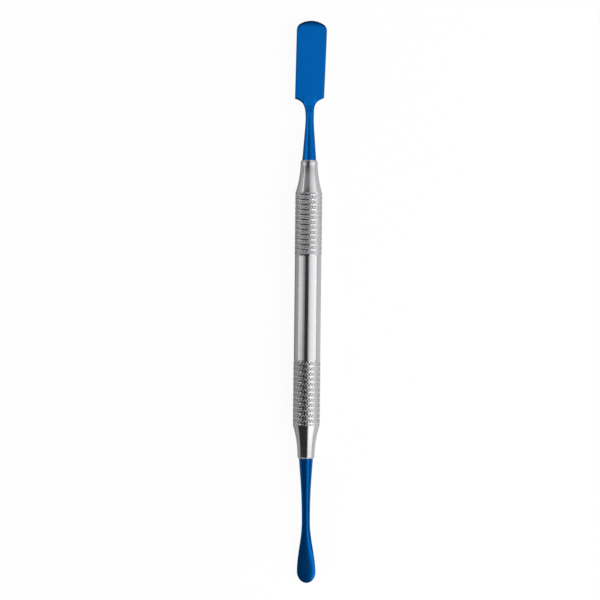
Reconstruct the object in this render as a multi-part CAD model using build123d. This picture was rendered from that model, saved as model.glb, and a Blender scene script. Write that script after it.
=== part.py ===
from build123d import *
import math
import os

# A double-ended periosteal elevator: a turned steel handle with two knurled grips, and a
# blue-coated working end pressed into a socket in each of its two noses. It lies as it would
# on a table: +Y runs along the handle to the wide blade, +X across it and +Z up. The origin
# is under the handle's axis, half way along the instrument, at the height of the table.

# Handle, in millimetres
handle_diameter = 8.0
smooth_length = 32.0
nose_diameter = 5.1
nose_chamfer = 0.3
wide_nose_length = 8.9
paddle_nose_length = 9.05

# Knurled grips: rings of crossed diagonal teeth, parted by turned grooves
crest_rise = 0.08
tooth_depth = 0.28
teeth_around = 32
rings_per_grip = 13
wide_ring_pitch = 1.51
paddle_ring_pitch = 1.565
ring_groove_width = 0.3
run_out_diameter = 7.52

# Sockets in the noses, and the tangs pressed into them
tang_diameter = 3.6
tang_length = 14.0
tang_chamfer = 0.4
tang_end_gap = 0.5

# Shanks of the two working ends, from the nose down to the neck
shank_root_diameter = 4.24
neck_diameter = 2.49
wide_neck_place = 13.3
wide_blend_length = 1.9
paddle_neck_place = 18.3
paddle_blend_length = 6.3
paddle_lean = 0.69

# Wide blade: a flat plate that droops slightly, with a ground edge across its end. As the
# handle lies, the blade leans and its face rolls a little, both to the right.
wide_reach = 42.3
wide_blade_length = 23.3
wide_blade_width = 9.2
wide_blade_base_width = 8.8
wide_blade_base_thickness = 1.05
wide_blade_tip_thickness = 0.7
wide_blade_droop = 0.8
wide_blade_lean = 1.5
wide_blade_shift = 0.13
wide_blade_roll = 3.0
wide_tip_crown = 1.8
wide_tip_corner_radius = 1.0
ground_edge_length = 1.2
ground_edge_thickness = 0.25
shoulder_radius = 0.25
throat_width = 3.3
throat_drop = 0.85
throat_radius = 2.4

# Flats ground on the neck, which run down a ramp onto the root of the wide blade
neck_flat_length = 3.3
neck_flat_thickness = 2.0
ramp_angle = 9.0
ramp_radius = 4.0

# Paddle: a narrow blade, rounded over its back and curved down until its tip meets the table
paddle_reach = 38.1
paddle_width = 5.64
paddle_tip_length = 3.42
paddle_thickness = 0.95
paddle_tip_thickness = 0.55
paddle_sections = 10

# The paddle stays narrow for this share of the way to its widest place, and past that place
# its sides run on wider by the second share, outside the outline of its rounded tip
paddle_wait_share = 0.06
paddle_overrun_share = 0.06

# Sizes worked out from those above
handle_radius = handle_diameter / 2
crest_radius = handle_radius + crest_rise
nose_radius = nose_diameter / 2
run_out_radius = run_out_diameter / 2
tang_radius = tang_diameter / 2
shank_root_radius = shank_root_diameter / 2
neck_radius = neck_diameter / 2
wide_grip_length = rings_per_grip * wide_ring_pitch
paddle_grip_length = rings_per_grip * paddle_ring_pitch
wide_side_length = wide_grip_length + wide_nose_length + wide_reach
paddle_side_length = paddle_grip_length + paddle_nose_length + paddle_reach
handle_middle = (paddle_side_length - wide_side_length) / 2
wide_smooth_end = handle_middle + smooth_length / 2
paddle_smooth_end = handle_middle - smooth_length / 2
wide_mouth = wide_smooth_end + wide_grip_length + wide_nose_length
paddle_mouth = paddle_smooth_end - paddle_grip_length - paddle_nose_length
wide_neck = wide_mouth + wide_neck_place
wide_tip = wide_mouth + wide_reach
wide_throat = wide_tip - wide_blade_length
ramp_length = neck_flat_thickness / 2 / math.tan(math.radians(ramp_angle))
paddle_neck = paddle_mouth - paddle_neck_place
paddle_tip = paddle_mouth - paddle_reach


def across(place, toward):
    """A plane across the handle at this place, facing the way that toward (1 or -1) points."""
    return Plane(origin=(0, place, 0), x_dir=(1, 0, 0), z_dir=(0, toward, 0))


def turned(outline):
    """A solid turned about the handle's axis from an outline of radii and places."""
    return revolve(make_face(outline), axis=Axis.Y)


def leaned(solid, place, degrees):
    """The solid swung sideways about the point of the axis at this place."""
    return Pos(0, place, 0) * Rot(0, 0, degrees) * Pos(0, -place, 0) * solid


def eased(share, wait_share):
    """An S-shaped growth from 0 to 1 that starts after the wait."""
    way = max(share - wait_share, 0) / (1 - wait_share)
    return way * way * (3 - 2 * way)


def between(first, last, share):
    """The size at this share of the way from the first size to the last."""
    return first + (last - first) * share


def polygon(corners):
    """A flat face with these corners."""
    return Face(Wire.make_polygon(corners, close=True))


def ring_of_points(radius, place, turn_share):
    """One point for each tooth around the axis, set round by a share of a tooth."""
    angles = [(tooth + turn_share) * math.tau / teeth_around for tooth in range(teeth_around)]
    return [Vector(radius * math.cos(a), place, radius * math.sin(a)) for a in angles]


def groove_faces(first, second):
    """Flat faces all the way round between two rings of points."""
    around = range(teeth_around)
    return [polygon((first[i], first[i - 1], second[i - 1], second[i])) for i in around]


def tooth_faces(start, end, start_radius, end_radius):
    """One ring of teeth: a row of raised diamonds, with the crossed cuts low between them."""
    middle = (start + end) / 2
    middle_radius = (start_radius + end_radius) / 2
    tops = ring_of_points(middle_radius, middle, 0)
    dips = ring_of_points(middle_radius - tooth_depth, middle, 1 / 2)
    faces = []
    for place, radius in ((start, start_radius), (end, end_radius)):
        low = ring_of_points(radius - tooth_depth, place, 0)
        for i in range(teeth_around):
            j = (i + 1) % teeth_around
            faces.append(polygon((low[i], low[j], dips[i])))
            faces.append(polygon((low[i], dips[i], tops[i])))
            faces.append(polygon((low[j], dips[i], tops[j])))
    return faces


def knurled_grip(smooth_end, pitch, toward):
    """A grip from the smooth middle to the nose, where its last ring runs out."""
    land = pitch - ring_groove_width
    floor = ring_of_points(crest_radius - tooth_depth, smooth_end - toward * ring_groove_width, 0)
    faces = [polygon(floor)]
    for ring in range(rings_per_grip):
        end = smooth_end + toward * (ring + 1) * pitch
        start = end - toward * land
        end_radius = run_out_radius if ring == rings_per_grip - 1 else crest_radius
        faces += groove_faces(floor, ring_of_points(crest_radius - tooth_depth, start, 0))
        faces += tooth_faces(start, end, crest_radius, end_radius)
        floor = ring_of_points(end_radius - tooth_depth, end, 0)
    seat = ring_of_points(run_out_radius - tooth_depth, end + toward * ring_groove_width, 0)
    faces += groove_faces(floor, seat)
    faces.append(polygon(seat))
    return Part(Solid(Shell(faces)).wrapped)


def nose(mouth, length, toward):
    """The hollow-sided cone between a grip and the mouth of a socket."""
    base = mouth - toward * length
    lip = mouth - toward * nose_chamfer
    side = TangentArc((nose_radius, lip), (run_out_radius, base), tangent=(0, -toward))
    ends = Polyline(
        (run_out_radius, base),
        (0, base),
        (0, mouth),
        (nose_radius - nose_chamfer, mouth),
        (nose_radius, lip),
    )
    return turned(side + ends)


def make_handle():
    """The handle: smooth middle, two knurled grips, and two noses with their sockets."""
    body = extrude(across(paddle_smooth_end, 1) * Circle(handle_radius), smooth_length)
    body += knurled_grip(wide_smooth_end, wide_ring_pitch, 1)
    body += knurled_grip(paddle_smooth_end, paddle_ring_pitch, -1)
    body += nose(wide_mouth, wide_nose_length, 1)
    body += nose(paddle_mouth, paddle_nose_length, -1)
    for mouth, toward in ((wide_mouth, 1), (paddle_mouth, -1)):
        socket = across(mouth, -toward) * Circle(tang_radius)
        body -= extrude(socket, tang_length + tang_end_gap)
    return body


def tang(mouth, toward):
    """The plain round end that fills a socket, chamfered to start into it."""
    end = mouth - toward * tang_length
    outline = Polyline(
        (0, end),
        (tang_radius - tang_chamfer, end),
        (tang_radius, end + toward * tang_chamfer),
        (tang_radius, mouth),
        (0, mouth),
        (0, end),
    )
    return turned(outline)


def shank(mouth, neck_place, blend_length, toward):
    """The round taper from the nose, which bends gently into the neck."""
    neck = mouth + toward * neck_place
    bend_place = neck_place - blend_length
    taper = math.atan2(shank_root_radius - neck_radius, bend_place)
    side = FilletPolyline(
        (shank_root_radius, mouth),
        (neck_radius, mouth + toward * bend_place),
        (neck_radius, neck),
        radius=blend_length / math.tan(taper / 2),
    )
    ends = Polyline((neck_radius, neck), (0, neck), (0, mouth), (shank_root_radius, mouth))
    return turned(side + ends)


def wide_plan():
    """The wide blade seen from above: crowned end, square shoulders and a hollow throat."""
    side = wide_blade_width / 2
    base = wide_blade_base_width / 2
    throat = throat_width / 2
    corner = wide_tip - wide_tip_crown
    crown = ThreePointArc((-side, corner), (0, wide_tip), (side, corner))
    outline = Polyline(
        (side, corner),
        (base, wide_throat),
        (throat, wide_throat - throat_drop),
        (neck_radius / 2, wide_neck),
        (-neck_radius / 2, wide_neck),
        (-throat, wide_throat - throat_drop),
        (-base, wide_throat),
        (-side, corner),
    )
    plan = make_face(crown + outline)
    plan = fillet(plan.vertices().group_by(Axis.Y)[-1], wide_tip_corner_radius)
    plan = fillet(plan.vertices().group_by(Axis.Y)[2], shoulder_radius)
    return fillet(plan.vertices().group_by(Axis.Y)[1], throat_radius)


def wide_side():
    """The wide blade seen from the side: thinner to its tip, drooping, with a ground edge."""
    base = wide_blade_base_thickness / 2
    bottom = -wide_blade_tip_thickness / 2 - wide_blade_droop
    grind = wide_tip - ground_edge_length
    grind_top = wide_blade_tip_thickness / 2 - wide_blade_droop
    upper = TangentArc((wide_throat, base), (grind, grind_top), tangent=(1, 0))
    edge = Polyline((grind, grind_top), (wide_tip, bottom + ground_edge_thickness), (wide_tip, bottom))
    lower = TangentArc((wide_throat, -base), (wide_tip, bottom), tangent=(1, 0))
    back = Polyline((wide_throat, -base), (wide_neck, -base), (wide_neck, base), (wide_throat, base))
    return Plane.YZ * make_face(upper + edge + lower + back)


def neck_flat_line(side):
    """The line of the flat on the upper (1) or lower (-1) side of the neck, seen from the side."""
    flat_end = wide_neck + neck_flat_length
    return FilletPolyline(
        (wide_neck, side * neck_radius),
        (flat_end, side * neck_flat_thickness / 2),
        (flat_end + ramp_length, 0),
        radius=ramp_radius,
    )


def flattened_neck():
    """The stretch where the round neck widens, and its flats run down onto the wide blade."""
    end = wide_neck + neck_flat_length + ramp_length
    throat = throat_width / 2
    outline = Polyline(
        (neck_radius, wide_neck),
        (throat, wide_throat - throat_drop),
        (throat, end),
        (0, end),
        (0, wide_neck),
        (neck_radius, wide_neck),
    )
    upper = neck_flat_line(1)
    lower = neck_flat_line(-1)
    side = make_face(upper + lower + Line(upper @ 0, lower @ 0))
    flats = extrude(Plane.YZ * side, throat_width, both=True)
    return turned(outline) & flats


def make_wide_blade():
    """The wide working end: tang, round shank, flattened neck and flat blade."""
    plate = extrude(wide_plan(), neck_diameter, both=True)
    plate &= extrude(wide_side(), wide_blade_width, both=True)
    plate = Pos(-wide_blade_shift, 0, 0) * leaned(plate, wide_throat, -wide_blade_lean)
    body = tang(wide_mouth, 1) + shank(wide_mouth, wide_neck_place, wide_blend_length, 1)
    return Rot(0, wide_blade_roll, 0) * (body + flattened_neck() + plate)


def lens(width, thickness):
    """A section with a round back and belly that meet in two edges, or a circle if as thick as wide."""
    left, right = (-width / 2, 0), (width / 2, 0)
    back = ThreePointArc(left, (0, thickness / 2), right)
    belly = ThreePointArc(left, (0, -thickness / 2), right)
    return make_face(back + belly)


def paddle_blade():
    """The paddle: sections along an arc that bends down to the table, cut to its outline."""
    length = paddle_neck - paddle_tip
    straight_share = (length - paddle_tip_length) / length
    drop = crest_radius - paddle_tip_thickness / 2
    bend = 2 * math.atan2(drop, length)
    bend_radius = length / math.sin(bend)
    sections = []
    for step in range(paddle_sections + 2):
        share = min(step / paddle_sections * straight_share, 1)
        growth = eased(min(step / paddle_sections, 1), paddle_wait_share)
        width = between(neck_diameter, paddle_width, growth)
        thickness = between(neck_diameter, paddle_thickness, growth)
        if step > paddle_sections:
            width = paddle_width * (1 + paddle_overrun_share)
            thickness = paddle_tip_thickness
            share = 1
        turn = bend * share
        centre = (0, paddle_neck - bend_radius * math.sin(turn), bend_radius * (math.cos(turn) - 1))
        facing = (0, -math.cos(turn), -math.sin(turn))
        plane = Plane(origin=centre, x_dir=(1, 0, 0), z_dir=facing)
        sections.append(plane * lens(width, thickness))
    widest = paddle_tip + paddle_tip_length
    tip = Pos(0, widest, 0) * Ellipse(paddle_width / 2, paddle_tip_length)
    sides = Pos(0, (widest + paddle_mouth) / 2, 0) * Rectangle(2 * paddle_width, paddle_mouth - widest)
    return loft(sections, ruled=True) & extrude(tip + sides, handle_diameter, both=True)


def make_paddle():
    """The narrow working end: tang, round shank and curved paddle, leaned about the nose."""
    root = extrude(across(paddle_mouth, 1) * Circle(shank_root_radius), tang_chamfer)
    body = root + shank(paddle_mouth, paddle_neck_place, paddle_blend_length, -1) + paddle_blade()
    body = leaned(body, paddle_mouth, paddle_lean)
    return tang(paddle_mouth, -1) + split(body, bisect_by=across(paddle_mouth, -1), keep=Keep.TOP)


def main():
    """Lift the three pieces onto the table and write one file for each."""
    os.makedirs("parts", exist_ok=True)
    pieces = {"handle": make_handle(), "wide_blade": make_wide_blade(), "paddle_blade": make_paddle()}
    for name, piece in pieces.items():
        export_step(Pos(0, 0, crest_radius) * piece, f"parts/{name}.step")


main()
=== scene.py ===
# %% [markdown]
# # A double-ended periosteal elevator
# A surgeon's hand tool: a round stainless steel handle with two knurled grips, a wide flat
# blade at one end and a narrow curved paddle at the other. Both working ends carry a blue
# coating. The solid model fixes the size and place of the three pieces. This lesson gives them
# their surfaces and their light.

# %% Load the fixed model
import math

import bpy
from mathutils import Matrix, Vector


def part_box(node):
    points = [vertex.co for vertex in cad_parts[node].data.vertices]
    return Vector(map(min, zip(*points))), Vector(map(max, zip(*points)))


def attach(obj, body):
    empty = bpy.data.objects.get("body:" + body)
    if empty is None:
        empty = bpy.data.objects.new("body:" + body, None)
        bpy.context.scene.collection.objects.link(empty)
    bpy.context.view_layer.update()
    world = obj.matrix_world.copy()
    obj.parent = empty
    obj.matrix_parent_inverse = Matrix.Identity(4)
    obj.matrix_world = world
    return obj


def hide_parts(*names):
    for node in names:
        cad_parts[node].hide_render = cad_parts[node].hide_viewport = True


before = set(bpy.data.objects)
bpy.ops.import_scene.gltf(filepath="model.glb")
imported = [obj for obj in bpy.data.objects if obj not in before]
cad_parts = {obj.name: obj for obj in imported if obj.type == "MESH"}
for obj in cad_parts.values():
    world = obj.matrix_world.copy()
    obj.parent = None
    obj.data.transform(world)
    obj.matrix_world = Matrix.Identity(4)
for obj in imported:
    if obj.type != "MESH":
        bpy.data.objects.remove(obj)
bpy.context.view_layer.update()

print(len(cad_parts), "nodes in the solid model")

# %% [markdown]
# ## Places that come from the solid model
# The handle's axis runs along Y. Its mouths, where the blue ends go in, and the two tips are
# read from the boxes of the three solids, so the surfaces always sit where the solids are. The
# crest radius is that of the knurl's highest points, on which the tool lies.

# %% Read the main places
MM = 0.001


def mm(length):
    """A length as words, in millimetres."""
    return f"{length / MM:.2f} mm"


handle_low, handle_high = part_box("handle")
crest_radius = (handle_high.z - handle_low.z) / 2
axis_height = handle_low.z + crest_radius
wide_mouth, paddle_mouth = handle_high.y, handle_low.y
wide_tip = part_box("wide_blade")[1].y
paddle_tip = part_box("paddle_blade")[0].y
print("handle", mm(wide_mouth - paddle_mouth), "long,", mm(axis_height), "above the table")

# %% [markdown]
# ## Two helpers for surfaces
# All three pieces are long and closed round their length, so each is a row of closed rings
# joined by faces, as a turned or forged bar is. A cylinder bent by modifiers could come close,
# but rings put every edge in its exact place. One helper makes the object from its points and
# faces. It takes out broken faces, shades the surface smooth, and keeps the edges crisp where
# two faces meet at more than the given angle. The other helper joins two rings.


# %% Make an object from points and faces
def make_piece(name, points, faces, sharp_degrees):
    """A smooth-shaded object with crisp edges above the given angle."""
    mesh = bpy.data.meshes.new(name)
    mesh.from_pydata(points, [], faces)
    mesh.validate()
    mesh.shade_smooth()
    mesh.set_sharp_from_angle(angle=math.radians(sharp_degrees))
    piece = bpy.data.objects.new(name, mesh)
    bpy.context.scene.collection.objects.link(piece)
    print(name, len(mesh.polygons), "faces")
    return piece


def ring_strip(first, second, count):
    """Four-sided faces between two rings, given by the numbers of their first points."""
    return [
        (first + i, first + (i + 1) % count, second + (i + 1) % count, second + i)
        for i in range(count)
    ]


print(len(ring_strip(0, 4, 4)), "faces between two rings of four points")

# %% [markdown]
# ## The handle
# A real handle is turned from one bar. Knurling wheels roll crossed helical cuts into the two
# grips, a form tool turns narrow grooves across them, and the noses are turned to a hollow
# cone that runs out the last ring of teeth. Displacement or bump could fake the teeth, but the
# outline of the grip would stay plain, so the teeth are real geometry: a fine grid wound round
# the axis, whose columns and rows meet along the two families of cuts.
#
# A knurl of this kind has about 32 teeth round the grip, 0.8 mm apart, and grooves about 0.3 mm
# wide. That is under three pixels a tooth in this picture, which blurs to plain grey. So the
# teeth are drawn a third coarser and the grooves about twice as wide. Both are drawn shallower
# too, because steep little teeth send most of the light away.

# %% Sizes of the knurl
teeth_around = 24
columns_per_tooth = 6
columns = teeth_around * columns_per_tooth
rows_per_land = 5
rows_per_groove = 4
rows_per_ring = rows_per_land + rows_per_groove
rings_per_grip = 13

tooth_depth = 0.085 * MM
groove_width = 0.66 * MM
groove_centre = 0.15 * MM
wide_groove_depth = 0.13 * MM
paddle_groove_depth = 0.155 * MM
print(columns, "columns, one every", mm(math.tau * crest_radius / columns))

# %% [markdown]
# Two families of cuts wind round the bar, one each way. On the grid a cut moves by one column
# with every row, so the height of a point follows from how many columns it is away from the
# nearest cut, as a share of the way up a tooth. The teeth beside the wide blade are blunt, and
# those beside the paddle rise more slowly to narrower tops.

# %% Height of the knurl at a point of the grid
blunt_tooth_shares = (0.0, 0.85, 1.0, 1.0)
sharp_tooth_shares = (0.0, 0.7, 0.97, 1.0)


def cut_distance(number):
    """Columns to the nearest cut of one family."""
    part = number % columns_per_tooth
    return min(part, columns_per_tooth - part)


def knurl_ring(row, tooth_shares):
    """Radii all round for one row of the grid: the crossed cuts run one column a row."""
    radii = []
    for column in range(columns):
        distance = min(cut_distance(column + row), cut_distance(column - row))
        radii.append(crest_radius - tooth_depth * (1 - tooth_shares[distance]))
    return radii


first_row = knurl_ring(0, blunt_tooth_shares)
print("knurl from", mm(min(first_row)), "to", mm(max(first_row)), "from the axis")

# %% [markdown]
# The nose is a cone with a hollow side: an arc that leaves the lip in line with the axis and
# opens towards the grip. A form tool cuts it in one pass. The same arc, carried on under the
# last ring of teeth, fades them out. A fine line is turned just behind the lip, and the blue
# end goes into the socket in the middle.

# %% Sizes and radius of the nose
nose_radius = 2.55 * MM
nose_chamfer = 0.3 * MM
lip_line_width = 0.06 * MM
lip_line_depth = 0.03 * MM
socket_radius = 1.8 * MM
socket_depth = 14.5 * MM
run_out_radius = 3.76 * MM
nose_rows = 28


def nose_arc(distance, length):
    """Radius of the hollow cone at a distance from its lip, for a cone of this length."""
    rise = run_out_radius - nose_radius
    arc_radius = (length ** 2 + rise ** 2) / (2 * rise)
    return nose_radius + arc_radius - math.sqrt(arc_radius ** 2 - distance ** 2)


print("nose opens from", mm(nose_radius), "to", mm(run_out_radius), "in radius")

# %% [markdown]
# One end of the handle is listed from the bottom of its socket, out over the lip and the nose
# and along the grip to the smooth middle. Each entry is a ring: its place on the axis, its
# radius or radii, in the knurl its row number, which says how the faces are split, and how far
# down in the cuts its points lie, which the steel's material reads later to dull the cuts and
# paint shade into them.

# %% List the rings of one end
handle_radius = 4.0 * MM
smooth_edge = 0.05 * MM


def handle_end(mouth, toward, nose_length, grip_shift, pitch, tooth_shares, groove_depth):
    """The rings from the bottom of a socket to the start of the smooth middle."""
    lip = mouth - toward * nose_chamfer
    base = mouth - toward * (nose_length + grip_shift)
    line = lip - toward * lip_line_width
    rings = [
        (mouth - toward * socket_depth, socket_radius, None, 0),
        (mouth, socket_radius, None, 0),
        (mouth, nose_radius - nose_chamfer, None, 0),
        (lip, nose_radius, None, 0),
        (line, nose_radius - lip_line_depth, None, 0),
    ]
    arc_length = nose_length - nose_chamfer
    for step in range(1, nose_rows + 1):
        distance = (arc_length + grip_shift) * step / nose_rows
        rings.append((lip - toward * distance, nose_arc(distance, arc_length), None, 0))
    land = pitch - groove_width
    for ring in reversed(range(rings_per_grip)):
        groove_place = base - toward * ((rings_per_grip - ring) * pitch - groove_centre)
        inner = groove_place + toward * groove_width / 2
        for step in reversed(range(rows_per_land + 1)):
            place = inner + toward * land * step / rows_per_land
            row = rows_per_ring * ring + step
            envelope = crest_radius
            if ring == rings_per_grip - 1:
                envelope = nose_arc(abs(lip - place), arc_length)
            radii = [min(radius, envelope) for radius in knurl_ring(row, tooth_shares)]
            crest = min(crest_radius, envelope)
            shades = [(crest - radius) / tooth_depth for radius in radii]
            rings.append((place, radii, row, shades))
        rings.append((groove_place, crest_radius - groove_depth, None, 0))
    smooth_end = base - toward * rings_per_grip * pitch
    rings.append((smooth_end, handle_radius - smooth_edge, None, 0))
    rings.append((smooth_end - toward * smooth_edge, handle_radius, None, 0))
    return rings


print(rings_per_grip, "rings of teeth in each grip,", rows_per_land + 1, "rows of points in each")

# %% [markdown]
# In the knurl each small square of the grid is split in two along the cut that it lies next
# to, so the bottoms of the cuts stay sharp lines and every tooth has four clean sides.


# %% Wind the rings into a closed surface
def knurl_strip(first, second, row, next_row):
    """Triangles between two knurled rings, split along the nearer family of cuts."""
    faces = []
    low = min(row, next_row)
    for column in range(columns):
        after = (column + 1) % columns
        rising = cut_distance(column - low) < cut_distance(column + low + 1)
        if next_row < row:
            rising = not rising
        a, b, c, d = first + column, first + after, second + after, second + column
        faces += [(a, b, c), (a, c, d)] if rising else [(a, b, d), (b, c, d)]
    return faces


def wind_handle(rings):
    """Points, faces and cut depths of the whole handle from its list of rings."""
    points, point_shades = [], []
    for place, radii, _, shades in rings:
        point_shades += shades if isinstance(shades, list) else [shades] * columns
        for column in range(columns):
            angle = math.tau * column / columns
            radius = radii[column] if isinstance(radii, list) else radii
            points.append((radius * math.cos(angle), place, axis_height + radius * math.sin(angle)))
    faces = [tuple(range(columns))]
    for number, (ring, following) in enumerate(zip(rings, rings[1:])):
        first = number * columns
        if ring[2] is None or following[2] is None:
            faces += ring_strip(first, first + columns, columns)
        else:
            faces += knurl_strip(first, first + columns, ring[2], following[2])
    faces.append(tuple(reversed(range(len(points) - columns, len(points)))))
    return points, faces, point_shades


print(len(knurl_strip(0, columns, 0, 1)), "triangles between two rows of the knurl")

# %% [markdown]
# The two ends differ: the noses and the ring pitches are not quite the same length, and the
# teeth of one grip are blunter. Each grip also begins a little further in than its nose's own
# length says. The two lists of rings are joined across the smooth middle. Each point keeps its
# depth in the cuts as an attribute of the mesh.

# %% Make the handle
wide_nose_length = 8.9 * MM
wide_grip_shift = 0.36 * MM
paddle_nose_length = 9.05 * MM
paddle_grip_shift = 0.12 * MM
wide_ring_pitch = 1.51 * MM
paddle_ring_pitch = 1.565 * MM
knurl_sharp_degrees = 18

wide_half = handle_end(
    wide_mouth, 1, wide_nose_length, wide_grip_shift,
    wide_ring_pitch, blunt_tooth_shares, wide_groove_depth,
)
paddle_half = handle_end(
    paddle_mouth, -1, paddle_nose_length, paddle_grip_shift,
    paddle_ring_pitch, sharp_tooth_shares, paddle_groove_depth,
)
handle_points, handle_faces, handle_shades = wind_handle(wide_half + paddle_half[::-1])
handle = make_piece("turned_handle", handle_points, handle_faces, knurl_sharp_degrees)
cut_depth = handle.data.attributes.new("cut_depth", "FLOAT", "POINT")
cut_depth.data.foreach_set("value", handle_shades)
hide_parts("handle")
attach(handle, "root")

# %% [markdown]
# ## Shape helpers for the two working ends
# Each end is one forging: a round tang in the socket, a tapering shank, a neck and a blade. A
# sculpted block could look right from one side, but sections across the length fix the outline
# and the thickness together. Every section has the same number of points, so the round shank
# can pass into the flat blade without a seam.


# %% Mix, ease and taper
def mix(first, second, share):
    """The value at this share of the way from the first to the second."""
    return first + (second - first) * share


def eased(share):
    """An S-shaped share: slow at 0 and 1, quick between, and held outside them."""
    share = min(max(share, 0), 1)
    return share * share * (3 - 2 * share)


shank_root_radius = 2.12 * MM
neck_radius = 1.245 * MM


def shank_radius(distance, neck_place, blend_length):
    """Radius of the shank at a distance from the mouth: a straight taper, eased at the neck."""
    bend_place = neck_place - blend_length
    slope = (shank_root_radius - neck_radius) / bend_place
    straight = shank_root_radius - slope * distance
    start = bend_place - blend_length
    if distance <= start:
        return straight
    left = max(neck_place - distance, 0) / (2 * blend_length)
    return neck_radius + slope * blend_length * left ** 2


print("shank", mm(2 * shank_root_radius), "across at the mouth,", mm(2 * neck_radius), "at the neck")

# %% [markdown]
# A section is a ring of points from the left edge over the top to the right edge and back
# underneath. A round section needs its points at even angles. A flat one needs points that
# crowd together at the edges, where a ground bevel has to turn within a third of a millimetre.

# %% Points of a section
across_count = 34
bevel_steps_mm = (0.0, 0.015, 0.05, 0.15, 0.3, 0.42)


def section_offsets(half_width, flat_share):
    """Places across a section, from -half_width to +half_width, from round to flat spacing."""
    steps = [step * MM for step in bevel_steps_mm]
    inner = half_width - steps[-1]
    middle_count = across_count - 2 * (len(steps) - 1)
    left = [step - half_width for step in steps]
    middle = [inner * (2 * i / middle_count - 1) for i in range(1, middle_count)]
    right = [half_width - step for step in steps[::-1]]
    angles = [math.pi * i / across_count for i in range(across_count + 1)]
    round_ones = [-half_width * math.cos(angle) for angle in angles]
    return [mix(a, b, flat_share) for a, b in zip(round_ones, left + middle + right)]


def section_ring(offsets, place, top, bottom):
    """Points round a section: over its top from left to right, then back underneath."""
    upper = [(x, place(x), top(x)) for x in offsets]
    lower = [(x, place(x), bottom(x)) for x in offsets[-2:0:-1]]
    return upper + lower


ring_count = 2 * across_count
print(ring_count, "points in each section")

# %% [markdown]
# The tang is a plain round pin with a chamfer, hidden in the socket. The shank grows out of the
# mouth a little thicker than the tang, so it covers the socket's edge.

# %% Round sections for the tang and the shank
tang_radius = 1.78 * MM
tang_length = 14.0 * MM
tang_chamfer = 0.4 * MM


def round_ring(place, radius):
    """A round section about the axis."""
    offsets = section_offsets(radius, 0)
    upper = [(x, place, math.sqrt(max(radius ** 2 - x ** 2, 0))) for x in offsets]
    lower = [(x, place, -math.sqrt(max(radius ** 2 - x ** 2, 0))) for x in offsets[-2:0:-1]]
    return upper + lower


def shank_rings(mouth, toward, neck_place, blend_length, rows):
    """Sections from the end of the tang to the neck."""
    end = mouth - toward * tang_length
    rings = [
        round_ring(end, tang_radius - tang_chamfer),
        round_ring(end + toward * tang_chamfer, tang_radius),
        round_ring(mouth, tang_radius),
    ]
    for row in range(rows + 1):
        distance = neck_place * row / rows
        radius = shank_radius(distance, neck_place, blend_length)
        rings.append(round_ring(mouth + toward * distance, radius))
    return rings


def wind_end(name, rings, transform, toward, sharp_degrees):
    """One working end from its sections, moved into place by the transform."""
    points = [transform @ Vector(point) for ring in rings for point in ring]
    faces = [tuple(range(ring_count))]
    for number in range(len(rings) - 1):
        faces += ring_strip(number * ring_count, (number + 1) * ring_count, ring_count)
    faces.append(tuple(reversed(range(len(points) - ring_count, len(points)))))
    if toward > 0:
        faces = [face[::-1] for face in faces]
    return make_piece(name, points, faces, sharp_degrees)


print("tang", mm(2 * tang_radius), "across,", mm(tang_length), "long")

# %% [markdown]
# ## The wide blade
# Past the neck the bar was hammered flat and then ground: to an edge at the end, where the top
# drops away in a crescent, and to narrow bevels all round. A boolean cut or a bevel modifier
# could make these edges, but they fade and change width along the outline, so each is a
# formula for how far the surface drops.

# %% Sizes of the wide blade
wide_neck_place = 13.3 * MM
blade_length = 23.6 * MM
blade_half_width = 4.585 * MM
base_half_width = 4.4 * MM
flare_length = 1.07 * MM
tip_crown = 1.8 * MM
tip_corner_radius = 1.0 * MM
corner_reach_share = 1.6
base_thickness = 1.05 * MM
tip_thickness = 0.7 * MM
blade_droop = 0.8 * MM

wide_neck = wide_mouth + wide_neck_place
wide_throat = wide_tip - blade_length
flare_span = wide_throat - wide_neck
crown_radius = (blade_half_width ** 2 + tip_crown ** 2) / (2 * tip_crown)
crown_start = wide_tip - tip_crown - corner_reach_share * tip_corner_radius
print("flat blade from", mm(wide_throat), "to", mm(wide_tip))

# %% [markdown]
# Seen from above, the neck opens faster and faster to square shoulders, the sides spread very
# slightly, and the crowned end is a shallow arc with rounded corners. The end's slant is worked
# out too, because the bevel there is measured square to the outline.


# %% Outline of the wide blade
def plan_half_width(place):
    """Half width of the neck, the quick flare to the shoulders and the blade."""
    if place <= wide_throat:
        opening = math.exp((place - wide_throat) / flare_length)
        return neck_radius + (base_half_width - neck_radius) * opening
    share = (place - wide_throat) / (crown_start - wide_throat)
    return mix(base_half_width, blade_half_width, min(share, 1))


def crown_place(x):
    """Where the crowned end is, at this distance from the middle, with its corner rounded."""
    arc = wide_tip - crown_radius + math.sqrt(crown_radius ** 2 - x ** 2)
    past = abs(x) - (blade_half_width - tip_corner_radius)
    if past > 0:
        arc -= tip_corner_radius - math.sqrt(max(tip_corner_radius ** 2 - past ** 2, 0))
    return arc


def crown_slant(x):
    """How much longer a step along the axis is than one square to the crowned end."""
    step = 0.01 * MM
    inner = max(abs(x) - step, 0)
    slope = (crown_place(inner + step) - crown_place(inner)) / step
    return math.hypot(1, slope)


print("shoulders", mm(2 * plan_half_width(wide_throat)), "across")

# %% [markdown]
# The flat part is a plate that droops in a curve and gets thinner towards its ground end, so
# its top comes down more than its underside.

# %% Height of the wide blade's top and underside
grind_length = 1.5 * MM


def plate_share(place):
    """How far along the flat blade this place is, from the throat to the ground end."""
    return max((place - wide_throat) / (blade_length - grind_length), 0)


def plate_top(place):
    """Top of the flat blade, which droops in a curve."""
    drop = blade_droop + (base_thickness - tip_thickness) / 2
    return base_thickness / 2 - drop * plate_share(place) ** 2


def plate_bottom(place):
    """Underside of the flat blade, which droops a little less as the blade gets thinner."""
    drop = blade_droop - (base_thickness - tip_thickness) / 2
    return -base_thickness / 2 - drop * plate_share(place) ** 2


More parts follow.
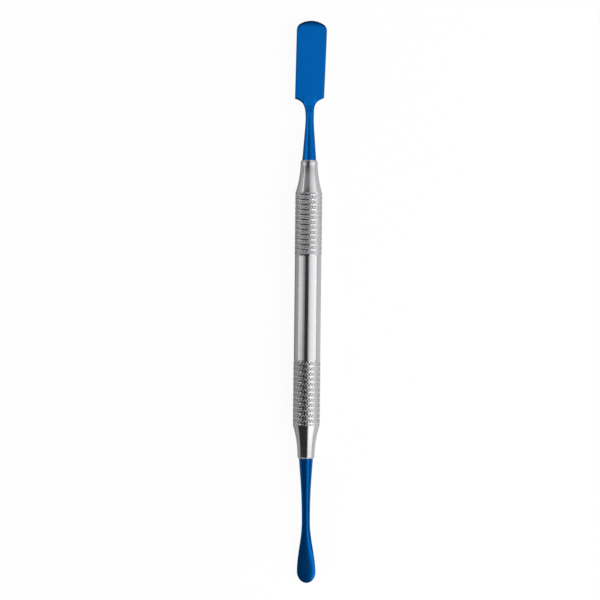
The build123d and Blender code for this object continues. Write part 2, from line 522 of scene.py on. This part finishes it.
print("blade", mm(plate_top(wide_throat) - plate_bottom(wide_throat)), "thick at the shoulders")

# %% [markdown]
# The neck is a round bar with a flat on top. The flat ends in a ramp that comes down onto the
# blade, and the sides of the ramp slope away, so it dies out in a point.

# %% Height of the neck and its ramp
neck_flat_start = 1.0 * MM
neck_flat_length = 3.3 * MM
neck_flat_height = 1.0 * MM
ramp_half_width = 1.65 * MM
ramp_degrees = 9.0
ramp_side_slope = 0.55


def neck_height(x, place):
    """Height of the round neck with its flat and ramp, or nothing outside it."""
    widening = eased((place - wide_neck) / flare_span)
    radius = mix(neck_radius, ramp_half_width, widening)
    flat = mix(neck_radius, neck_flat_height, eased((place - wide_neck) / neck_flat_start))
    past_flat = max(place - wide_neck - neck_flat_length, 0)
    flat -= past_flat * math.tan(math.radians(ramp_degrees))
    round_side = math.sqrt(max(radius ** 2 - x ** 2, 0))
    sloping_side = (ramp_half_width + base_thickness - abs(x)) * ramp_side_slope
    return min(flat, mix(round_side, sloping_side, widening))


print("ramp", mm(neck_height(0, wide_throat)), "above the axis at the shoulders")

# %% [markdown]
# The bevel is a narrow slope all round the blade, along its sides, its end and the rear edge of
# its shoulders. At the end and the rear its width is measured square to the outline, by dividing
# the distance along the axis by the slant. Near the neck the outline runs almost along the axis,
# and that would draw the bevel out into a streak across the face. So the slant has a steepest
# value, and the opening from the neck a smallest one.

# %% Bevel round the wide blade
bevel_width = 0.32 * MM
bevel_depth = 0.3 * MM
crown_bevel_width = 0.6 * MM
smallest_opening = 0.02 * MM
steepest_slant = 3.0


def bevel_drop(x, place, row_place, half_width):
    """How far the bevel round the blade's outline takes the surface down."""
    side = (half_width - abs(x)) / bevel_width
    end = (crown_place(x) - place) / crown_slant(x) / crown_bevel_width
    opening = max(abs(x) - neck_radius, smallest_opening)
    flare_place = wide_throat + flare_length * math.log(opening / (base_half_width - neck_radius))
    slant = min(math.hypot(1, flare_length / opening), steepest_slant)
    rear = (row_place - flare_place) / slant / bevel_width
    return bevel_depth * min(max(1 - min(side, end, rear), 0), 1)


edge_drop = bevel_drop(blade_half_width, crown_start, crown_start, blade_half_width)
print("the edge lies", mm(edge_drop), "below the face")

# %% [markdown]
# A section takes the higher of the plate and the neck, so the ramp melts into the blade. Near
# the hand-ground shoulders the sections are skewed a little, because one shoulder sits further
# back than the other. Near the end they bend more and more, until the last one is the edge.

# %% Sections of the wide blade
shoulder_skew = 0.24 * MM
grind_depth = 0.18 * MM


def blade_section(half_width, flat_share, row_place, place):
    """One section; place gives where each point lies along the blade."""
    offsets = section_offsets(half_width, flat_share)

    def rounded(x):
        return math.sqrt(max(half_width ** 2 - x ** 2, 0)) if flat_share < 1 else base_thickness

    def top(x):
        y = place(x)
        ground = grind_depth * max(y - wide_tip + grind_length, 0) / grind_length
        plate = plate_top(y) - ground - bevel_drop(x, y, row_place, half_width) * flat_share
        return max(min(plate, rounded(x)), neck_height(x, y))

    def bottom(x):
        y = place(x)
        plate = plate_bottom(y) + bevel_drop(x, y, row_place, half_width) * flat_share
        return min(max(plate, -rounded(x)), -neck_height(x, y))

    return section_ring(offsets, place, top, bottom)


def straight_section(place, flat_share):
    """A section of the neck or the blade, skewed near the hand-ground shoulders."""
    if place < wide_throat:
        skew = shoulder_skew * eased((place - wide_neck) / flare_span)
    else:
        skew = shoulder_skew * eased(1 - (place - wide_throat) / flare_span)
    half_width = plan_half_width(place)

    def skewed(x):
        return place + skew * x / base_half_width

    return blade_section(half_width, flat_share, place, skewed)


def crowned_section(share, edge_share):
    """A section past the straight sides, bent more and more to follow the crowned end."""
    def place(x):
        edge = crown_place(x)
        inner = edge - min(crown_bevel_width * crown_slant(x), (edge - crown_start) / 2)
        return mix(mix(crown_start, inner, share), edge, edge_share)

    return blade_section(blade_half_width, 1, crown_start, place)


print(len(crowned_section(1, 1)), "points in the edge")

# %% Rows of the wide blade
flare_rows = 36
plate_rows = 30
crown_rows = 10
edge_rows = 2

# How soon the section turns flat, and how closely the rows crowd towards the throat
flattening_rate = 1.3
plate_row_crowding = 1.6


def wide_blade_rings():
    """Sections from the neck to the crowned end."""
    rings = []
    for row in range(1, flare_rows + 1):
        share = row / flare_rows
        place = wide_neck + flare_span * (1 - (1 - share) ** 2)
        rings.append(straight_section(place, eased(share * flattening_rate)))
    for row in range(1, plate_rows + 1):
        share = (row / plate_rows) ** plate_row_crowding
        rings.append(straight_section(mix(wide_throat, crown_start, share), 1))
    rings += [crowned_section(row / crown_rows, 0) for row in range(1, crown_rows + 1)]
    rings += [crowned_section(1, row / edge_rows) for row in range(1, edge_rows + 1)]
    return rings


print(flare_rows + plate_rows + crown_rows + edge_rows, "sections past the neck")

# %% [markdown]
# A forged and ground blade is never quite in line with its handle. This one leans a degree and
# a half sideways and sits a little to the left, eased in over the flare. The whole end is
# rolled three degrees, so its face turns towards the bright side of the room.

# %% Make the wide blade
wide_blend_length = 1.9 * MM
wide_shank_rows = 30
blade_lean_degrees = 1.5
blade_shift = 0.13 * MM
blade_roll_degrees = 3.0
blade_sharp_degrees = 26

to_axis = Matrix.Translation((0, 0, axis_height))
roll = Matrix.Rotation(math.radians(blade_roll_degrees), 4, "Y")
lean = (
    Matrix.Translation((-blade_shift, wide_throat, 0))
    @ Matrix.Rotation(math.radians(-blade_lean_degrees), 4, "Z")
    @ Matrix.Translation((0, -wide_throat, 0))
)

wide_rings = shank_rings(wide_mouth, 1, wide_neck_place, wide_blend_length, wide_shank_rows)
for ring in wide_blade_rings():
    leaned = []
    for point in ring:
        point = Vector(point)
        share = eased((point.y - wide_neck) / flare_span)
        leaned.append(point.lerp(lean @ point, share))
    wide_rings.append(leaned)
wide_end = wind_end("wide_blade_end", wide_rings, to_axis @ roll, 1, blade_sharp_degrees)
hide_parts("wide_blade")
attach(wide_end, "root")

# %% [markdown]
# ## The paddle
# The narrow end widens slowly to a small spoon-like paddle and curves down until its tip meets
# the table. It is forged round, flattened and bent. A straight paddle with a bend modifier
# would do, but here each section is placed on the arc at once, so the tip comes out where the
# solid's tip is, a hundredth of a millimetre inside its length. The outline ends in half an
# ellipse.

# %% Sizes of the paddle
paddle_neck_place = 18.3 * MM
paddle_half_width = 2.82 * MM
paddle_tip_length = 3.42 * MM
paddle_thickness = 0.95 * MM
paddle_tip_thickness = 0.55 * MM
tip_clearance = 0.012 * MM

paddle_neck = paddle_mouth - paddle_neck_place
paddle_end_place = paddle_tip + tip_clearance
paddle_length = paddle_neck - paddle_end_place
paddle_widest = paddle_end_place + paddle_tip_length
paddle_drop = crest_radius - paddle_tip_thickness / 2
paddle_bend = 2 * math.atan2(paddle_drop, paddle_length)
bend_radius = paddle_length / math.sin(paddle_bend)
print("paddle bends", round(math.degrees(paddle_bend), 1), "degrees down to the table")

# %% Sections of the paddle
paddle_rows = 44
paddle_tip_rows = 16
paddle_wait_share = 0.06
paddle_rim_drop_share = 0.1

# The tip's last ring keeps a little width and thickness: these are the squares of their shares
tip_width_floor = 0.0001
tip_thickness_floor = 0.01


def paddle_ring(place, half_width, half_thickness, growth):
    """A section square to the arc: round at the neck, then higher over its rim than under it."""
    turn = math.asin((paddle_neck - place) / bend_radius)
    lowered = paddle_rim_drop_share * growth
    ring = []
    for x, _, z in round_ring(place, half_width):
        share = z / half_width
        lift = half_thickness * (share * (1 + math.copysign(lowered, share)) - lowered)
        y = paddle_neck - (bend_radius + lift) * math.sin(turn)
        ring.append((x, y, (bend_radius + lift) * math.cos(turn) - bend_radius))
    return ring


def paddle_rings():
    """Sections along the arc from the neck to the tip."""
    rings = []
    growth_span = paddle_neck - paddle_widest
    places = [paddle_neck - growth_span * row / paddle_rows for row in range(1, paddle_rows + 1)]
    places += [
        paddle_widest - paddle_tip_length * math.sin(math.pi / 2 * row / paddle_tip_rows)
        for row in range(1, paddle_tip_rows + 1)
    ]
    for place in places:
        share = (paddle_neck - place) / growth_span
        growth = eased((share - paddle_wait_share) / (1 - paddle_wait_share))
        half_width = mix(neck_radius, paddle_half_width, growth)
        half_thickness = mix(neck_radius, paddle_thickness / 2, growth)
        if place < paddle_widest:
            past = (paddle_widest - place) / paddle_tip_length
            half_width = paddle_half_width * math.sqrt(max(1 - past ** 2, tip_width_floor))
            half_thickness = mix(paddle_thickness, paddle_tip_thickness, past) / 2
            half_thickness *= math.sqrt(max(1 - past ** 4, tip_thickness_floor))
        rings.append(paddle_ring(place, half_width, half_thickness, growth))
    return rings


print(len(paddle_rings()), "sections past the neck")

# %% [markdown]
# This end was set by hand too: it leans half a degree sideways and is rolled three degrees, the
# other way from the wide blade, which moves the streak of light along its back.

# %% Make the paddle
paddle_blend_length = 6.3 * MM
paddle_shank_rows = 36
paddle_lean_degrees = 0.53
paddle_roll_degrees = -3.0
paddle_sharp_degrees = 30

paddle_lean = (
    Matrix.Translation((0, paddle_mouth, 0))
    @ Matrix.Rotation(math.radians(paddle_lean_degrees), 4, "Z")
    @ Matrix.Translation((0, -paddle_mouth, 0))
    @ Matrix.Rotation(math.radians(paddle_roll_degrees), 4, "Y")
)
narrow_rings = shank_rings(
    paddle_mouth, -1, paddle_neck_place, paddle_blend_length, paddle_shank_rows,
)
narrow_rings += paddle_rings()
paddle_end = wind_end("paddle_end", narrow_rings, to_axis @ paddle_lean, -1, paddle_sharp_degrees)
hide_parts("paddle_blade")
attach(paddle_end, "root")

# %% [markdown]
# ## Materials
# Colours are written as the eye sees them, in sRGB hex, and turned to the linear values that
# the shader works in. One helper adds a node with its settings and links, another starts a
# material. Two more do what both metals share: the noise of fine marks and of wear, and the last
# links. Noise textures give nearly all their values within the middle of their range, so that
# part alone is spread over each range of gloss.


# %% Colour and node helpers
def linear(hex_colour):
    """A linear colour from an sRGB hex value."""
    parts = [int(hex_colour[i:i + 2], 16) / 255 for i in (0, 2, 4)]
    flat = [p / 12.92 if p <= 0.04045 else ((p + 0.055) / 1.055) ** 2.4 for p in parts]
    return (*flat, 1.0)


def add_node(tree, kind, settings=None, links=None):
    """A node in this tree. A setting is an input's value or the node's own choice."""
    node = tree.nodes.new(kind)
    for name, value in (settings or {}).items():
        if name in node.inputs:
            node.inputs[name].default_value = value
        else:
            setattr(node, name, value)
    for name, socket in (links or {}).items():
        tree.links.new(socket, node.inputs[name])
    return node


def new_material(name):
    """A node material and its tree, which starts with a Principled shader."""
    material = bpy.data.materials.new(name)
    material.use_nodes = True
    return material, material.node_tree


print("middle grey is", round(linear("808080")[0], 3), "in linear light")

# %% What both metals share
noise_spread = {"From Min": 0.3, "From Max": 0.7}
mark_height = 0.01 * MM


def add_marks(tree, squeeze, mark_mm, mark_roughness, cloud_mm, cloud_detail):
    """Two noises on the piece itself: fine marks, drawn out where squeezed, and slow clouds."""
    place = add_node(tree, "ShaderNodeTexCoord")
    stretch = add_node(
        tree, "ShaderNodeMapping", {"Scale": squeeze}, {"Vector": place.outputs["Object"]},
    )
    marks = add_node(
        tree, "ShaderNodeTexNoise",
        {"Scale": 1 / (mark_mm * MM), "Detail": 2.0, "Roughness": mark_roughness},
        {"Vector": stretch.outputs["Vector"]},
    )
    cloud = add_node(
        tree, "ShaderNodeTexNoise",
        {"Scale": 1 / (cloud_mm * MM), "Detail": cloud_detail},
        {"Vector": place.outputs["Object"]},
    )
    print("marks", mm(mark_mm * MM), "apart, clouds of", mm(cloud_mm * MM))
    return marks, cloud


def plug_in(tree, colour, gloss, marks, bump_strength):
    """Give the tree's shader its colour and gloss, and the marks as a faint bump."""
    bump = add_node(
        tree, "ShaderNodeBump",
        {"Strength": bump_strength, "Distance": mark_height},
        {"Height": marks.outputs["Fac"]},
    )
    shader = tree.nodes["Principled BSDF"]
    tree.links.new(colour.outputs["Result"], shader.inputs["Base Color"])
    tree.links.new(gloss.outputs["Result"], shader.inputs["Roughness"])
    tree.links.new(bump.outputs["Normal"], shader.inputs["Normal"])


print("marks stand up to", mm(mark_height), "high")

# %% [markdown]
# **Polished stainless steel.** The handle was turned and then polished on a soft wheel, which
# leaves hair-fine marks round the bar, about a twentieth of a millimetre apart. They are too
# fine to see singly here, so they are drawn four times as coarse and very faint, to break up
# the reflections. A slower cloud of wear changes the gloss. Both are noise in the piece's own
# coordinates. For the marks these are squeezed to a twenty-fifth across the axis, so each mark
# is drawn out round the bar.

# %% Marks and wear of the polish
polish_mark_mm = 0.2
polish_cloud_mm = 6.0
across_squeeze = 0.04

steel, steel_tree = new_material("polished_stainless_steel")
steel_tree.nodes["Principled BSDF"].inputs["Metallic"].default_value = 1.0
polish_marks, wear = add_marks(
    steel_tree, (across_squeeze, 1.0, across_squeeze),
    polish_mark_mm, mark_roughness=0.6, cloud_mm=polish_cloud_mm, cloud_detail=3.0,
)

# %% Colour and gloss of the polish
steel_colour = add_node(
    steel_tree, "ShaderNodeMix",
    {"data_type": "RGBA", "A": linear("CDCED1"), "B": linear("D9D9DA")},
    {"Factor": polish_marks.outputs["Fac"]},
)
steel_gloss = add_node(
    steel_tree, "ShaderNodeMapRange",
    {**noise_spread, "To Min": 0.1, "To Max": 0.17},
    {"Value": wear.outputs["Fac"]},
)
print("roughness up to", round(steel_gloss.inputs["To Max"].default_value, 2))

# %% [markdown]
# The wheel never reaches the bottoms of the knurl's cuts, so they stay dull. A texture
# could only guess where they are, but the mesh's attribute says how deep each point lies, from
# 0 on the crests to 1 at the bottom. The deeper half of that range fades to rougher steel, and
# its colour fades to dark grey, which is painted shade in the cuts.

# %% Dull cuts with painted shade
dull_and_shaded_from_depth = 0.5
dull_roughness = 0.3

cut_reading = add_node(steel_tree, "ShaderNodeAttribute", {"attribute_name": cut_depth.name})
dull_and_shaded_share = add_node(
    steel_tree, "ShaderNodeMapRange",
    {"interpolation_type": "SMOOTHSTEP", "From Min": dull_and_shaded_from_depth, "From Max": 1.0},
    {"Value": cut_reading.outputs["Fac"]},
)
# The dark grey here is painted shade in the knurl's cuts; only the higher roughness is the real dull
# finish.
cut_painted_shade_colour = add_node(
    steel_tree, "ShaderNodeMix",
    {"data_type": "RGBA", "B": linear("484849")},
    {"Factor": dull_and_shaded_share.outputs["Result"], "A": steel_colour.outputs["Result"]},
)
cut_gloss = add_node(
    steel_tree, "ShaderNodeMix",
    {"B": dull_roughness},
    {"Factor": dull_and_shaded_share.outputs["Result"], "A": steel_gloss.outputs["Result"]},
)
plug_in(steel_tree, cut_painted_shade_colour, cut_gloss, polish_marks, bump_strength=0.06)
handle.data.materials.append(steel)
print(steel.name, "on", handle.name)

# %% [markdown]
# **Blue hard coating on steel.** A film a few thousandths of a millimetre thick, laid on ground
# steel in a vacuum chamber. It reflects like a metal, in deep blue, with a satin sheen from the
# grinding under it. It is drawn as not quite all metal, which keeps some blue where the blade
# faces the dark room. The grinding marks run along the blade. Real ones are finer than a pixel,
# so they are drawn coarser and faint.

# %% Blue coated steel
grinding_mark_mm = 0.3
coating_cloud_mm = 5.0
along_squeeze = 0.06

coating, coating_tree = new_material("blue_hard_coated_steel")
coating_shader = coating_tree.nodes["Principled BSDF"]
coating_shader.inputs["Metallic"].default_value = 0.78
coating_shader.inputs["Specular IOR Level"].default_value = 0.0
grinding, coating_cloud = add_marks(
    coating_tree, (1.0, along_squeeze, 1.0),
    grinding_mark_mm, mark_roughness=0.55, cloud_mm=coating_cloud_mm, cloud_detail=2.0,
)

# %% Colour and gloss of the coating
coating_colour = add_node(
    coating_tree, "ShaderNodeMix",
    {"data_type": "RGBA", "A": linear("0560B0"), "B": linear("0667BA")},
    {"Factor": coating_cloud.outputs["Fac"]},
)
coating_gloss = add_node(
    coating_tree, "ShaderNodeMapRange",
    {**noise_spread, "To Min": 0.23, "To Max": 0.31},
    {"Value": grinding.outputs["Fac"]},
)
plug_in(coating_tree, coating_colour, coating_gloss, grinding, bump_strength=0.05)
wide_end.data.materials.append(coating)
paddle_end.data.materials.append(coating)
print(coating.name, "on", wide_end.name, "and", paddle_end.name)

# %% [markdown]
# ## Floor, light and camera
# Polished metal shows the room more than itself, so the light is drawn first as what the
# handle has to reflect: a large bright wall at its right, a dimmer one at its left, and a dark
# gap overhead, which becomes the dark line down the middle of the handle. The pale floor is a
# sheet that glows from within, as a light table does, so the tool casts hardly a shadow. The
# camera sees that even glow. What the metal reflects is the plain sheet, with a little more
# light on its right side, which brightens the handle's lower right.

# %% Pale floor
floor_size = 4.0
half = floor_size / 2
corners = [(-half, -half, 0), (half, -half, 0), (half, half, 0), (-half, half, 0)]
floor_mesh = bpy.data.meshes.new("floor")
floor_mesh.from_pydata(corners, [], [(0, 1, 2, 3)])
floor = bpy.data.objects.new("floor", floor_mesh)
bpy.context.scene.collection.objects.link(floor)
print("floor", floor_size, "metres square")

# %% The sheet as the camera sees it
table_top, table_tree = new_material("light_table")
glow = add_node(table_tree, "ShaderNodeEmission", {"Color": linear("FFFFFF"), "Strength": 0.94})
sheet = add_node(table_tree, "ShaderNodeBsdfDiffuse", {"Color": linear("606060")})
lit = add_node(
    table_tree, "ShaderNodeAddShader", {},
    {0: glow.outputs["Emission"], 1: sheet.outputs["BSDF"]},
)
print("glow", round(glow.inputs["Strength"].default_value, 2), "of full white")

# %% The sheet as the metal reflects it
glow_start = -2.0 * MM
glow_end = 12.0 * MM
left_glow = 0.03
right_glow = 0.26

sheet_place = add_node(table_tree, "ShaderNodeTexCoord")
sheet_parts = add_node(
    table_tree, "ShaderNodeSeparateXYZ", {},
    {"Vector": sheet_place.outputs["Object"]},
)
side_glow = add_node(
    table_tree, "ShaderNodeMapRange",
    {
        "interpolation_type": "SMOOTHSTEP", "From Min": glow_start, "From Max": glow_end,
        "To Min": left_glow, "To Max": right_glow,
    },
    {"Value": sheet_parts.outputs["X"]},
)
side_light = add_node(
    table_tree, "ShaderNodeEmission",
    {"Color": linear("FFFFFF")},
    {"Strength": side_glow.outputs["Result"]},
)
pale = add_node(table_tree, "ShaderNodeBsdfDiffuse", {"Color": linear("F0F0F0")})
reflected = add_node(
    table_tree, "ShaderNodeAddShader", {},
    {0: pale.outputs["BSDF"], 1: side_light.outputs["Emission"]},
)
seen = add_node(table_tree, "ShaderNodeLightPath")
choice = add_node(
    table_tree, "ShaderNodeMixShader", {},
    {"Fac": seen.outputs["Is Camera Ray"], 1: reflected.outputs["Shader"], 2: lit.outputs["Shader"]},
)
table_output = table_tree.nodes["Material Output"]
table_tree.links.new(choice.outputs["Shader"], table_output.inputs["Surface"])
floor_mesh.materials.append(table_top)
print("reflected glow from", left_glow, "to", right_glow)

# %% [markdown]
# Every soft box is placed by the angles that it fills, as the handle sees them, because those
# angles say where its reflection lies on the round bar. Its brightness is given as radiance,
# and its power follows: pi times its area times its radiance. Light linking can keep a panel
# to some of the pieces.

# %% Soft boxes
light_distance = 0.8
light_target = Vector((0, 0, axis_height))


def hang_panel(name, width, length, radiance, placement):
    """A soft panel of this size and radiance at this place, which the camera doesn't see."""
    lamp = bpy.data.lights.new(name, "AREA")
    lamp.shape = "RECTANGLE"
    lamp.size = width
    lamp.size_y = length
    lamp.energy = math.pi * lamp.size * lamp.size_y * radiance
    panel = bpy.data.objects.new(name, lamp)
    bpy.context.scene.collection.objects.link(panel)
    panel.matrix_world = placement
    panel.visible_camera = False
    return panel


def softbox(name, x_range, y_range, radiance):
    """A soft panel that fills this range of angles from the vertical, as the handle sees it."""
    x_middle, y_middle = (math.radians(sum(limits) / 2) for limits in (x_range, y_range))
    toward = Vector((
        math.sin(x_middle) * math.cos(y_middle),
        math.sin(y_middle),
        math.cos(x_middle) * math.cos(y_middle),
    ))
    width, length = (
        2 * light_distance * math.tan(math.radians(limits[1] - limits[0]) / 2)
        for limits in (x_range, y_range)
    )
    across = Vector((0, 1, 0)).cross(toward).normalized()
    up = toward.cross(across)
    turned = Matrix((across, up, toward)).transposed().to_4x4()
    placement = Matrix.Translation(light_target + toward * light_distance) @ turned
    return hang_panel(name, width, length, radiance, placement)


def light_only(panel, *pieces):
    """Keep a panel's light to these pieces."""
    group = bpy.data.collections.new(panel.name + "_pieces")
    for piece in pieces:
        group.objects.link(piece)
    panel.light_linking.receiver_collection = group


print("panels hang", light_distance, "metres from the handle")

# %% [markdown]
# The right wall is cut into strips, from nearly overhead down to the table, and each strip into
# four bands along the tool: towards the paddle, square on, towards the wide blade, and far
# beyond it. So every part of the handle's long reflection gets its own brightness. The far band
# is for the sides of the teeth that face the blade. It lights the handle alone, or it would
# light the dark ground crescent at the blade's end too. In the other bands the lowest strip
# leaves out the paddle's end, whose right rim is dark.

# %% The right wall of light
right_bands = ((-66, -6), (-6, 11), (11, 44), (44, 66))

# Each strip's angles from the vertical, and its radiance in each of the four bands
right_strips = (
    ((4, 11), (0.0, 0.39, 0.14, 0.0)),
    ((11, 20), (0.15, 0.77, 0.31, 0.5)),
    ((20, 32), (1.2, 1.0, 0.44, 1.2)),
    ((32, 46), (1.3, 1.15, 0.58, 1.3)),
    ((46, 62), (1.3, 1.25, 0.68, 1.3)),
    ((62, 82), (1.3, 1.38, 0.8, 1.3)),
)
far_band = len(right_bands) - 1
lowest_strip = len(right_strips) - 1
for number, (across_range, radiances) in enumerate(right_strips):
    for band, (along_range, radiance) in enumerate(zip(right_bands, radiances)):
        if radiance:
            panel = softbox(f"right_{number}_{band}", across_range, along_range, radiance)
            if band == far_band:
                light_only(panel, handle)
            elif number == lowest_strip:
                light_only(panel, handle, wide_end, floor)
print(len(bpy.data.lights), "panels in the right wall")

# %% [markdown]
# The left wall is dimmer and fills only the angles square on to the handle. Towards the wide
# blade stand three panels more, a narrow bright one between two faint ones, for the surfaces
# that slope that way.

# %% The left wall of light
left_along = (-4, 10)
left_strips = (
    ((-30, -23), 0.18),
    ((-40, -30), 0.38),
    ((-50, -40), 0.6),
    ((-62, -50), 0.84),
    ((-86, -62), 0.92),
)
for number, (across_range, radiance) in enumerate(left_strips):
    softbox(f"left_{number}", across_range, left_along, radiance)

left_far_along = (10, 50)
left_far_panels = (
    ("left_rim", (-66, -59), 1.2),
    ("left_low", (-88, -66), 0.2),
    ("left_fill", (-59, -38), 0.1),
)
for name, across_range, radiance in left_far_panels:
    softbox(name, across_range, left_far_along, radiance)
print(len(bpy.data.lights), "panels in both walls")

# %% [markdown]
# The flat blade reflects one small patch of the room, so it gets a card of its own, close above
# it, as a photographer would hold one. A second panel draws the left streak on its shank. A
# third, wide and faint, lifts the dark parts of the paddle's end. Light linking keeps each to
# its own piece, because the handle's reflections are set already.

# %% Cards for the blade and the paddle
card_height = 30.0 * MM
card_width = 42.0 * MM
card_length = 36.0 * MM
card_shift = 9.0 * MM
card_start = 3.3 * MM
card_radiance = 0.6

card_middle = wide_neck + card_length / 2 + card_start
card_place = Matrix.Translation((card_shift, card_middle, axis_height + card_height))
card = hang_panel("blade_card", card_width, card_length, card_radiance, card_place)
light_only(card, wide_end)

shank_card = softbox("shank_card", (-75, -30), (-8, 35), 0.9)
light_only(shank_card, wide_end)
paddle_glow = softbox("paddle_glow", (-60, 8), (-60, 0), 0.06)
light_only(paddle_glow, paddle_end)
print("card", mm(card_width), "by", mm(card_length))

# %% [markdown]
# The room is dim, but not black, or every gap between the panels would be a hole in the
# reflections. It has a soft band of light low at the tool's two sides, and another across the
# ceiling on the wide blade's side. Both are drawn from the direction in which a ray leaves: Z
# is its height, and Y how far it points along the tool. The camera sees plain near-white.

# %% Band of light low at both sides
side_band_radiance = 0.4

world = bpy.data.worlds.new("dim_room")
bpy.context.scene.world = world
world.use_nodes = True
room_tree = world.node_tree
room_way = add_node(room_tree, "ShaderNodeTexCoord")
room_parts = add_node(
    room_tree, "ShaderNodeSeparateXYZ", {},
    {"Vector": room_way.outputs["Generated"]},
)
horizon = add_node(
    room_tree, "ShaderNodeMapRange",
    {
        "interpolation_type": "SMOOTHSTEP", "From Min": 0.06, "From Max": 0.16,
        "To Min": side_band_radiance, "To Max": 0.0,
    },
    {"Value": room_parts.outputs["Z"]},
)
along = add_node(
    room_tree, "ShaderNodeMath", {"operation": "ABSOLUTE"},
    {0: room_parts.outputs["Y"]},
)
beside = add_node(
    room_tree, "ShaderNodeMapRange",
    {
        "interpolation_type": "SMOOTHSTEP", "From Min": 0.4, "From Max": 0.7,
        "To Min": 1.0, "To Max": 0.0,
    },
    {"Value": along.outputs["Value"]},
)
side_band = add_node(
    room_tree, "ShaderNodeMath", {"operation": "MULTIPLY"},
    {0: horizon.outputs["Result"], 1: beside.outputs["Result"]},
)
print("side band", side_band_radiance, "at its brightest")

# %% Band of light across the ceiling
ceiling_stops = ((0.15, "000000"), (0.32, "848484"), (0.5, "848484"), (0.66, "000000"))

ceiling_band = add_node(
    room_tree, "ShaderNodeValToRGB", {},
    {"Fac": room_parts.outputs["Y"]},
)
ramp_stops = ceiling_band.color_ramp.elements
ready_stops = len(ramp_stops)
for number, (position, colour) in enumerate(ceiling_stops):
    stop = ramp_stops[number] if number < ready_stops else ramp_stops.new(position)
    stop.position = position
    stop.color = linear(colour)
print("ceiling band of", len(ramp_stops), "stops")

# %% Put the room together
room_radiance = 0.035
room_as_seen = 0.95

both_bands = add_node(
    room_tree, "ShaderNodeMath", {"operation": "ADD"},
    {0: side_band.outputs["Value"], 1: ceiling_band.outputs["Color"]},
)
room_light = add_node(
    room_tree, "ShaderNodeMath", {"operation": "ADD"},
    {0: both_bands.outputs["Value"]},
)
room_light.inputs[1].default_value = room_radiance
room_seen = add_node(room_tree, "ShaderNodeLightPath")
room_choice = add_node(
    room_tree, "ShaderNodeMix", {"B": room_as_seen},
    {"Factor": room_seen.outputs["Is Camera Ray"], "A": room_light.outputs["Value"]},
)
background = room_tree.nodes["Background"]
background.inputs["Color"].default_value = linear("FFFFFF")
room_tree.links.new(room_choice.outputs["Result"], background.inputs["Strength"])
print(len(room_tree.nodes), "nodes make the room")

# %% [markdown]
# The camera looks straight down, as the photograph does. Its distance is that of a common
# studio shot, and its lens is worked out so that the picture is 181 millimetres wide. It is
# turned by two thirds of a degree, because the tool lies a little askew in the picture.

# %% Camera
picture_width = 181.13 * MM
camera_distance = 0.7
camera_place = (-2.32 * MM, 0.7 * MM)
camera_turn_degrees = 0.635

camera_data = bpy.data.cameras.new("camera")
camera_data.sensor_width = 36.0
camera_data.lens = camera_data.sensor_width * camera_distance / picture_width
camera = bpy.data.objects.new("camera", camera_data)
camera.location = (*camera_place, axis_height + camera_distance)
camera.rotation_euler = (0, 0, math.radians(camera_turn_degrees))
bpy.context.scene.collection.objects.link(camera)
bpy.context.scene.camera = camera
bpy.context.scene.view_settings.view_transform = "Standard"
print("lens", round(camera_data.lens, 1), "mm")

# %% [markdown]
# ## Finish
# The view layer is brought up to date at the end. The dressed model has to stay inside the
# solid model's box.

# %% Finish
bpy.context.view_layer.update()
